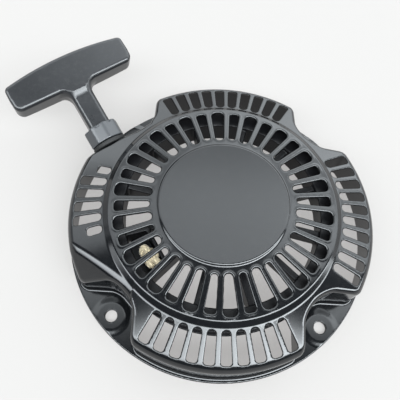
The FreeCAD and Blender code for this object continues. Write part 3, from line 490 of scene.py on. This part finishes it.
def braided_rope(name, points, radius):
    """A rope along control points, its crossing strands standing out and its ends closed."""
    line, run = smooth_route(points)
    heading = np.gradient(line, axis=0)
    heading /= np.linalg.norm(heading, axis=1, keepdims=True)
    side = np.cross(heading[0], (0.31, 0.17, 0.93))
    turn = np.linspace(0, 2 * math.pi, BRAID_SIDES, endpoint=False)
    rings, hollows = [], []
    for place, way, along in zip(line, heading, run):
        side = side - way * side.dot(way)
        side /= np.linalg.norm(side)
        over = np.cross(way, side)
        lattice = BRAID_STRANDS * turn / 2
        pitch = math.pi * along / BRAID_PITCH
        weave = np.abs(np.sin(lattice + pitch) * np.sin(lattice - pitch))
        size = radius * (1 - BRAID_DEPTH + BRAID_DEPTH * np.sqrt(weave))
        rings.append(place + size[:, None] * (np.cos(turn)[:, None] * side + np.sin(turn)[:, None] * over))
        hollows.append(1 - weave)
    count, sides = len(rings), BRAID_SIDES
    points = np.concatenate(rings) * MM
    faces = [(a + j, a + (j + 1) % sides, a + sides + (j + 1) % sides, a + sides + j)
             for a in range(0, (count - 1) * sides, sides) for j in range(sides)]
    faces += [tuple(range(sides))[::-1], tuple((count - 1) * sides + j for j in range(sides))]
    mesh = bpy.data.meshes.new(name)
    mesh.from_pydata(points.tolist(), [], faces)
    # How deep each point lies between strands, which the braid material turns into painted shade
    hollow = mesh.attributes.new("hollow", "FLOAT", "POINT")
    hollow.data.foreach_set("value", np.concatenate(hollows).astype(np.float32))
    mesh.shade_smooth()
    rope = bpy.data.objects.new(name, mesh)
    bpy.context.scene.collection.objects.link(rope)
    return rope


def winding_route():
    """Three turns on the drum, climbing one rope's thickness a turn."""
    turns = np.linspace(0, ROPE_TURNS * 2 * math.pi, ROPE_TURNS * TURN_POINTS + 1)
    reach = (DRUM_RADIUS + ROPE_RADIUS + 0.15) / math.cos(math.pi / TURN_POINTS) ** 2
    lift = ROPE_LEVEL + (turns / (2 * math.pi) - ROPE_TURNS / 2) * 2 * ROPE_RADIUS
    return np.stack([reach * np.cos(turns), reach * np.sin(turns), lift], 1)


def knot_route():
    """A pulled-up overhand knot that lies along the rim in its pocket."""
    t = np.linspace(0, 2 * math.pi, KNOT_POINTS + 1)[:-1]
    out = KNOT_HALF_WIDTH * (np.cos(t) - 2 * np.cos(2 * t))
    along = KNOT_HALF_LENGTH * (np.sin(t) + 2 * np.sin(2 * t))
    lift = -KNOT_HALF_HEIGHT * np.sin(3 * t)
    loop = (np.stack([out, along, lift], 1) + KNOT_SPOT)[2:-1]
    route = np.concatenate([loop, KNOT_TAIL])
    c, s = math.cos(POCKET_HEADING), math.sin(POCKET_HEADING)
    return np.stack([route[:, 0] * c - route[:, 1] * s, route[:, 0] * s + route[:, 1] * c, route[:, 2]], 1)


def on_pull(distance):
    """The point on the pull's axis at a distance from the outlet's face."""
    return OUTLET + PULL * distance


def pull_route():
    """The rope from the drum through the eyelet and along the stem to its anchor."""
    wound = DRUM_RADIUS + ROPE_RADIUS
    mouth = on_pull(MOUTH)
    span = math.hypot(mouth[0], mouth[1])
    leave = math.atan2(mouth[1], mouth[0]) + math.acos(wound / span)
    tangent = np.array([wound * math.cos(leave), wound * math.sin(leave), ROPE_LEVEL])
    level_mouth = np.array([mouth[0], mouth[1], ROPE_LEVEL])
    clear = level_mouth + (tangent - level_mouth) * CLEAR_SHARE
    return [clear, (clear + mouth) / 2, mouth] + [on_pull(stop) for stop in PULL_STOPS]


# ---------------------------------------------------------------- materials


def add(tree, kind, inputs=None, **settings):
    """A shader node; an input takes a value or another node's socket."""
    node = tree.nodes.new(kind)
    for name, value in settings.items():
        setattr(node, name, value)
    for name, value in (inputs or {}).items():
        if isinstance(value, bpy.types.NodeSocket):
            tree.links.new(value, node.inputs[name])
        else:
            node.inputs[name].default_value = value
    return node


def new_group(name, inputs, outputs):
    """An empty node group with named sockets, and its two end nodes."""
    tree = bpy.data.node_groups.new(name, "ShaderNodeTree")
    for label, kind, value in inputs:
        socket = tree.interface.new_socket(label, in_out="INPUT", socket_type="NodeSocket" + kind)
        socket.default_value = value
    for label, kind in outputs:
        tree.interface.new_socket(label, in_out="OUTPUT", socket_type="NodeSocket" + kind)
    return tree, tree.nodes.new("NodeGroupInput"), tree.nodes.new("NodeGroupOutput")


def noise(tree, scale, detail=4.0, roughness=0.55):
    """Cloudy values from 0 to 1 in the piece's own space."""
    place = add(tree, "ShaderNodeTexCoord")
    return add(tree, "ShaderNodeTexNoise",
               {"Vector": place.outputs["Object"], "Scale": scale, "Detail": detail,
                "Roughness": roughness}).outputs["Fac"]


def swing(tree, mask, low, high):
    """A mask from 0 to 1 turned into a value between two ends."""
    return add(tree, "ShaderNodeMapRange", {"Value": mask, "To Min": low, "To Max": high}).outputs["Result"]


def make_finish_group():
    """Fine grain in the surface, with cloudy colour and gloss; depths are in millimetres."""
    tree, given, result = new_group(
        "finish",
        [("Color", "Color", (0.5, 0.5, 0.5, 1)), ("Cloudiness", "Float", 0.2), ("Roughness", "Float", 0.3),
         ("Gloss Change", "Float", 0.05), ("Grain Scale", "Float", 900.0), ("Grain Depth", "Float", 0.01),
         ("Cloud Scale", "Float", 45.0)],
        [("Color", "Color"), ("Roughness", "Float"), ("Normal", "Vector")])
    cloud = noise(tree, given.outputs["Cloud Scale"], 5.0)
    shade = add(tree, "ShaderNodeMath", {0: cloud, 1: -0.5}, operation="ADD")
    amount = add(tree, "ShaderNodeMath", {0: shade.outputs[0], 1: given.outputs["Cloudiness"], 2: 1.0},
                 operation="MULTIPLY_ADD")
    tint = add(tree, "ShaderNodeVectorMath", {0: given.outputs["Color"], "Scale": amount.outputs[0]},
               operation="SCALE")
    gloss = add(tree, "ShaderNodeMath", {0: shade.outputs[0], 1: given.outputs["Gloss Change"],
                                         2: given.outputs["Roughness"]}, operation="MULTIPLY_ADD")
    depth = add(tree, "ShaderNodeMath", {0: given.outputs["Grain Depth"], 1: MM}, operation="MULTIPLY")
    bump = add(tree, "ShaderNodeBump", {"Height": noise(tree, given.outputs["Grain Scale"], 3.0),
                                        "Distance": depth.outputs[0], "Strength": 1.0})
    tree.links.new(tint.outputs["Vector"], result.inputs["Color"])
    tree.links.new(gloss.outputs[0], result.inputs["Roughness"])
    tree.links.new(bump.outputs["Normal"], result.inputs["Normal"])
    return tree


def make_dust_group():
    """Pale dust that gathers in specks on faces that look up."""
    tree, given, result = new_group(
        "dust",
        [("Color", "Color", (0.5, 0.5, 0.5, 1)), ("Roughness", "Float", 0.3), ("Amount", "Float", 0.05),
         ("Dust Color", "Color", (0.32, 0.31, 0.29, 1))],
        [("Color", "Color"), ("Roughness", "Float")])
    facing = add(tree, "ShaderNodeSeparateXYZ", {0: add(tree, "ShaderNodeNewGeometry").outputs["Normal"]})
    upward = add(tree, "ShaderNodeMapRange", {"Value": facing.outputs["Z"], "From Min": 0.4, "From Max": 1.0})
    specks = add(tree, "ShaderNodeMapRange", {"Value": noise(tree, 420.0, 8.0, 0.7), "From Min": 0.5,
                                              "From Max": 0.78})
    both_masks = add(tree, "ShaderNodeMath", {0: upward.outputs["Result"], 1: specks.outputs["Result"]},
                     operation="MULTIPLY")
    amount = add(tree, "ShaderNodeMath", {0: both_masks.outputs[0], 1: given.outputs["Amount"]},
                 operation="MULTIPLY", use_clamp=True)
    color = add(tree, "ShaderNodeMix", {"Factor": amount.outputs[0], "A": given.outputs["Color"],
                                        "B": given.outputs["Dust Color"]}, data_type="RGBA")
    rough = add(tree, "ShaderNodeMath", {0: amount.outputs[0], 1: 0.5, 2: given.outputs["Roughness"]},
                operation="MULTIPLY_ADD")
    tree.links.new(color.outputs["Result"], result.inputs["Color"])
    tree.links.new(rough.outputs[0], result.inputs["Roughness"])
    return tree


def make_strand_group():
    """Painted shade of a braid: darker between its strands, where shade falls, with fine fibres in them."""
    tree, given, result = new_group(
        "strands", [("Color", "Color", (0.5, 0.5, 0.5, 1)), ("Painted Hollow Shade", "Float", 0.6),
                    ("Fibre Depth", "Float", 0.03)],
        [("Color", "Color"), ("Normal", "Vector")])
    hollow = add(tree, "ShaderNodeAttribute", attribute_name="hollow")
    fibres = noise(tree, 5200.0, 6.0, 0.75)
    # Painted shade: the colour is darkened in the hollows between strands
    shade = swing(tree, hollow.outputs["Fac"], 1.0, 0.25)
    deep = add(tree, "ShaderNodeMix", {"Factor": given.outputs["Painted Hollow Shade"], "A": 1.0, "B": shade},
               data_type="FLOAT")
    tone = add(tree, "ShaderNodeMath", {0: deep.outputs["Result"], 1: swing(tree, fibres, 0.75, 1.25)},
               operation="MULTIPLY")
    tint = add(tree, "ShaderNodeVectorMath", {0: given.outputs["Color"], "Scale": tone.outputs[0]},
               operation="SCALE")
    depth = add(tree, "ShaderNodeMath", {0: given.outputs["Fibre Depth"], 1: MM}, operation="MULTIPLY")
    bump = add(tree, "ShaderNodeBump", {"Height": fibres, "Distance": depth.outputs[0], "Strength": 1.0})
    tree.links.new(tint.outputs["Vector"], result.inputs["Color"])
    tree.links.new(bump.outputs["Normal"], result.inputs["Normal"])
    return tree


def finished(name, color, roughness, metallic=0.0, cloud=0.3, gloss_change=0.1, grain=900.0, depth=0.01,
             cloud_scale=45.0, dust=0.0, specular=0.5):
    """A hard material: its colour and gloss under the finish group, with dust where it has any."""
    mat = bpy.data.materials.new(name)
    mat.use_nodes = True
    tree = mat.node_tree
    shader = tree.nodes["Principled BSDF"]
    shader.inputs["Metallic"].default_value = metallic
    shader.inputs["Specular IOR Level"].default_value = specular
    surface = add(tree, "ShaderNodeGroup", node_tree=GROUPS["finish"])
    for label, value in (("Color", (*color, 1)), ("Cloudiness", cloud), ("Roughness", roughness),
                         ("Gloss Change", gloss_change), ("Grain Scale", grain), ("Grain Depth", depth),
                         ("Cloud Scale", cloud_scale)):
        surface.inputs[label].default_value = value
    outer = surface
    if dust:
        outer = add(tree, "ShaderNodeGroup", node_tree=GROUPS["dust"])
        outer.inputs["Amount"].default_value = dust
        tree.links.new(surface.outputs["Color"], outer.inputs["Color"])
        tree.links.new(surface.outputs["Roughness"], outer.inputs["Roughness"])
    tree.links.new(outer.outputs["Color"], shader.inputs["Base Color"])
    tree.links.new(outer.outputs["Roughness"], shader.inputs["Roughness"])
    tree.links.new(surface.outputs["Normal"], shader.inputs["Normal"])
    return mat


def braided(name, color, painted_hollow_shade):
    """A braided rope's material, with painted shade between its strands."""
    mat = bpy.data.materials.new(name)
    mat.use_nodes = True
    tree = mat.node_tree
    shader = tree.nodes["Principled BSDF"]
    shader.inputs["Roughness"].default_value = 0.7
    shader.inputs["Sheen Weight"].default_value = 0.25
    strands = add(tree, "ShaderNodeGroup", node_tree=GROUPS["strands"])
    strands.inputs["Color"].default_value = (*color, 1)
    strands.inputs["Painted Hollow Shade"].default_value = painted_hollow_shade
    tree.links.new(strands.outputs["Color"], shader.inputs["Base Color"])
    tree.links.new(strands.outputs["Normal"], shader.inputs["Normal"])
    return mat


# ---------------------------------------------------------------- the scene


def look_from():
    """The camera: above and a little south of the starter."""
    data = bpy.data.cameras.new("camera")
    data.sensor_width = SENSOR_WIDTH
    data.lens = LENS
    camera = bpy.data.objects.new("camera", data)
    bpy.context.scene.collection.objects.link(camera)
    turn = (Matrix.Rotation(-CAMERA_BEARING, 4, "Z") @ Matrix.Rotation(math.pi / 2 - CAMERA_ELEVATION, 4, "X")
            @ Matrix.Rotation(CAMERA_ROLL, 4, "Z"))
    camera.matrix_world = Matrix.Translation(Vector(CAMERA_SPOT) * MM) @ turn
    bpy.context.scene.camera = camera


def ceiling_strip(tree, distance, stops):
    """Brightness over the studio's ceiling along one line; stops are (distance, brightness) pairs."""
    place = add(tree, "ShaderNodeMapRange", {"Value": distance, "From Min": -CEILING_REACH,
                                             "From Max": CEILING_REACH})
    ramp = add(tree, "ShaderNodeValToRGB", {"Fac": place.outputs["Result"]})
    ramp.color_ramp.interpolation = "EASE"
    marks = ramp.color_ramp.elements
    while len(marks) < len(stops):
        marks.new(0.5)
    for mark, (spot, level) in zip(marks, stops):
        mark.position = (spot + CEILING_REACH) / (2 * CEILING_REACH)
        mark.color = (level, level, level, 1)
    return ramp.outputs["Color"]


def sky():
    """A studio ceiling: a bright panel to the south, softer ones to the north, a dark gap between."""
    world = bpy.data.worlds.new("studio")
    world.use_nodes = True
    tree = world.node_tree
    way = add(tree, "ShaderNodeSeparateXYZ", {0: add(tree, "ShaderNodeTexCoord").outputs["Generated"]})
    height = add(tree, "ShaderNodeMath", {0: way.outputs["Z"], 1: LOWEST_RISE}, operation="MAXIMUM")
    north = add(tree, "ShaderNodeMath", {0: way.outputs["Y"], 1: height.outputs[0]}, operation="DIVIDE")
    east = add(tree, "ShaderNodeMath", {0: way.outputs["X"], 1: height.outputs[0]}, operation="DIVIDE")
    lengthwise = ceiling_strip(tree, north.outputs[0], NORTHWARD)
    sideways = ceiling_strip(tree, east.outputs[0], EASTWARD)
    light = add(tree, "ShaderNodeVectorMath", {0: lengthwise, 1: sideways}, operation="MULTIPLY")
    tinted = add(tree, "ShaderNodeVectorMath", {0: light.outputs["Vector"], 1: CEILING_TINT},
                 operation="MULTIPLY")
    rise = add(tree, "ShaderNodeMapRange", {"Value": way.outputs["Z"], "From Min": HORIZON_LOW,
                                            "From Max": HORIZON_HIGH})
    room = add(tree, "ShaderNodeMix", {"Factor": rise.outputs["Result"], "A": HORIZON,
                                       "B": tinted.outputs["Vector"]}, data_type="RGBA")
    background = tree.nodes["Background"]
    background.inputs["Strength"].default_value = SKY_STRENGTH
    tree.links.new(room.outputs["Result"], background.inputs["Color"])
    bpy.context.scene.world = world


def studio():
    """The ceiling, and a glowing white floor that can be seen through from below."""
    sky()
    bpy.context.scene.view_settings.view_transform = "Standard"
    mesh = bpy.data.meshes.new("floor")
    corners = [(i * FLOOR_REACH, j * FLOOR_REACH, 0) for i, j in ((-1, -1), (1, -1), (1, 1), (-1, 1))]
    mesh.from_pydata(corners, [], [(0, 1, 2, 3)])
    floor = bpy.data.objects.new("floor", mesh)
    bpy.context.scene.collection.objects.link(floor)
    card = bpy.data.materials.new("light_card")
    card.use_nodes = True
    shader = card.node_tree.nodes["Principled BSDF"]
    shader.inputs["Base Color"].default_value = FLOOR_COLOR
    shader.inputs["Roughness"].default_value = 0.9
    shader.inputs["Specular IOR Level"].default_value = 0.1
    shader.inputs["Emission Color"].default_value = FLOOR_LIGHT
    shader.inputs["Emission Strength"].default_value = FLOOR_GLOW
    see_through = add(card.node_tree, "ShaderNodeBsdfTransparent")
    under = add(card.node_tree, "ShaderNodeNewGeometry")
    sides = add(card.node_tree, "ShaderNodeMixShader",
                {0: under.outputs["Backfacing"], 1: shader.outputs["BSDF"], 2: see_through.outputs["BSDF"]})
    card.node_tree.links.new(sides.outputs[0], card.node_tree.nodes["Material Output"].inputs["Surface"])
    floor.data.materials.append(card)


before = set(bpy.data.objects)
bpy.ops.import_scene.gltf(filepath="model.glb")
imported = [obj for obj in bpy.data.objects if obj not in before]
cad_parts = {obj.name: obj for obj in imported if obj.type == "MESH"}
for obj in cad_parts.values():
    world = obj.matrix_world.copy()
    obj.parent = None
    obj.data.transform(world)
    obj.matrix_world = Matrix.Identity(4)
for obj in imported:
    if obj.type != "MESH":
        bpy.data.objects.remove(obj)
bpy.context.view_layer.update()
look_from()
studio()

GROUPS = {"finish": make_finish_group(), "dust": make_dust_group(), "strands": make_strand_group()}
LOOKS = {
    "satin_paint": finished("satin_paint", (0.0022, 0.0025, 0.003), 0.13, cloud=0.5, gloss_change=0.05,
                            grain=420.0, depth=0.0025, dust=0.012),
    "handle_plastic": finished("handle_plastic", (0.006, 0.0065, 0.0075), 0.29, cloud=0.4, grain=1900.0,
                               depth=0.006, dust=0.03),
    "collar_plastic": finished("collar_plastic", (0.024, 0.0255, 0.028), 0.36, grain=2300.0, depth=0.014),
    "eyelet_rubber": finished("eyelet_rubber", (0.004, 0.004, 0.004), 0.62, cloud=0.6, grain=1500.0,
                              depth=0.03, specular=0.3),
    "reel_nylon": finished("reel_nylon", (0.0025, 0.0025, 0.003), 0.42, cloud=0.5, gloss_change=0.2,
                           grain=1300.0, depth=0.02, specular=0.2),
    "zinc_plate": finished("zinc_plate", (0.5, 0.51, 0.53), 0.34, metallic=1.0, cloud=0.5, gloss_change=0.35,
                           grain=1400.0, depth=0.006, cloud_scale=260.0),
    "blued_steel": finished("blued_steel", (0.13, 0.15, 0.2), 0.3, metallic=1.0, cloud=0.8, gloss_change=0.3,
                            grain=1600.0, depth=0.004, cloud_scale=120.0),
    "oiled_bronze": finished("oiled_bronze", (0.42, 0.27, 0.12), 0.38, metallic=1.0, cloud=0.6,
                             gloss_change=0.3, grain=3200.0, depth=0.02, cloud_scale=400.0),
    # The braids' last number sets how strongly painted shade darkens the hollows between their strands
    "dark_braid": braided("dark_braid", (0.012, 0.012, 0.013), 0.8),
    "cream_braid": braided("cream_braid", (0.55, 0.46, 0.30), 0.85),
}


def settle_in(piece, look, body, slot, *nodes):
    """Give a piece its material and body, and hide the nodes that it stands for; the slot is not used."""
    piece.data.materials.clear()
    piece.data.materials.append(LOOKS[look])
    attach(piece, body)
    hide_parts(*nodes)


cover = surface_piece("cover_pressing", cover_field, (-97, -97, -1.5), (97, 97, 41.5), 0.64, 0.42)
settle_in(cover, "satin_paint", "housing", "black_paint", "cover")

for name, field, nodes, body, slot, look, step, keep in (
        ("grip_moulding", grip_field, ("grip",), "pull_handle", "grip_plastic", "handle_plastic", 0.7, 0.8),
        ("collar_moulding", collar_field, ("collar",), "pull_handle", "collar_plastic", "collar_plastic",
         0.4, 0.8),
        ("guide_eyelet", guide_field, ("rope_guide",), "housing", "guide_rubber", "eyelet_rubber", 0.5, 0.8),
        ("reel_moulding", reel_field, ("reel_rim", "reel"), "reel_wheel", "reel_plastic", "reel_nylon",
         0.8, 0.6),
        ("pawl_one_plate", pawl_field, ("pawl_a",), "pawl_one", "zinc_steel", "zinc_plate", 0.4, 0.7),
        ("pawl_two_plate", other_pawl_field, ("pawl_b",), "pawl_two", "zinc_steel", "zinc_plate", 0.4, 0.7),
        ("ear_plate", plate_field, ("friction_plate",), "ratchet_plate", "zinc_steel", "zinc_plate",
         0.4, 0.6),
        ("hex_screw", screw_field, ("centre_screw",), "housing", "zinc_steel", "zinc_plate", 0.35, 0.6)):
    corners = [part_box(node) for node in nodes]
    low = [min(c[0][i] for c in corners) / MM - BOX_MARGIN for i in range(3)]
    high = [max(c[1][i] for c in corners) / MM + BOX_MARGIN for i in range(3)]
    settle_in(surface_piece(name, field, low, high, step, keep), look, body, slot, *nodes)

winding = braided_rope("rope_winding", winding_route(), ROPE_RADIUS)
settle_in(winding, "dark_braid", "reel_wheel", "rope", "rope_coil")
knot = braided_rope("cream_knot", knot_route(), KNOT_ROPE_RADIUS)
settle_in(knot, "cream_braid", "reel_wheel", "pale_rope", "reel_knot")

pulled = braided_rope("pull_rope", pull_route(), ROPE_RADIUS)
pulled.data.materials.append(LOOKS["dark_braid"])
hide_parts("rope_run", "rope_lead")
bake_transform(pulled)

KEPT_LOOKS = {
    "zinc_plate": ("post", "thrust_washer", "spring_cup", "spring_retainer", "pawl_pins", "rope_anchor"),
    "blued_steel": ("friction_spring", "recoil_spring", "spring_pin", "pawl_springs"),
    "oiled_bronze": ("reel_bush",),
    "dark_braid": ("handle_knot",),
    "handle_plastic": ("grip_plug",),
}
for look, nodes in KEPT_LOOKS.items():
    for node in nodes:
        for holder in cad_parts[node].material_slots:
            holder.material = LOOKS[look]
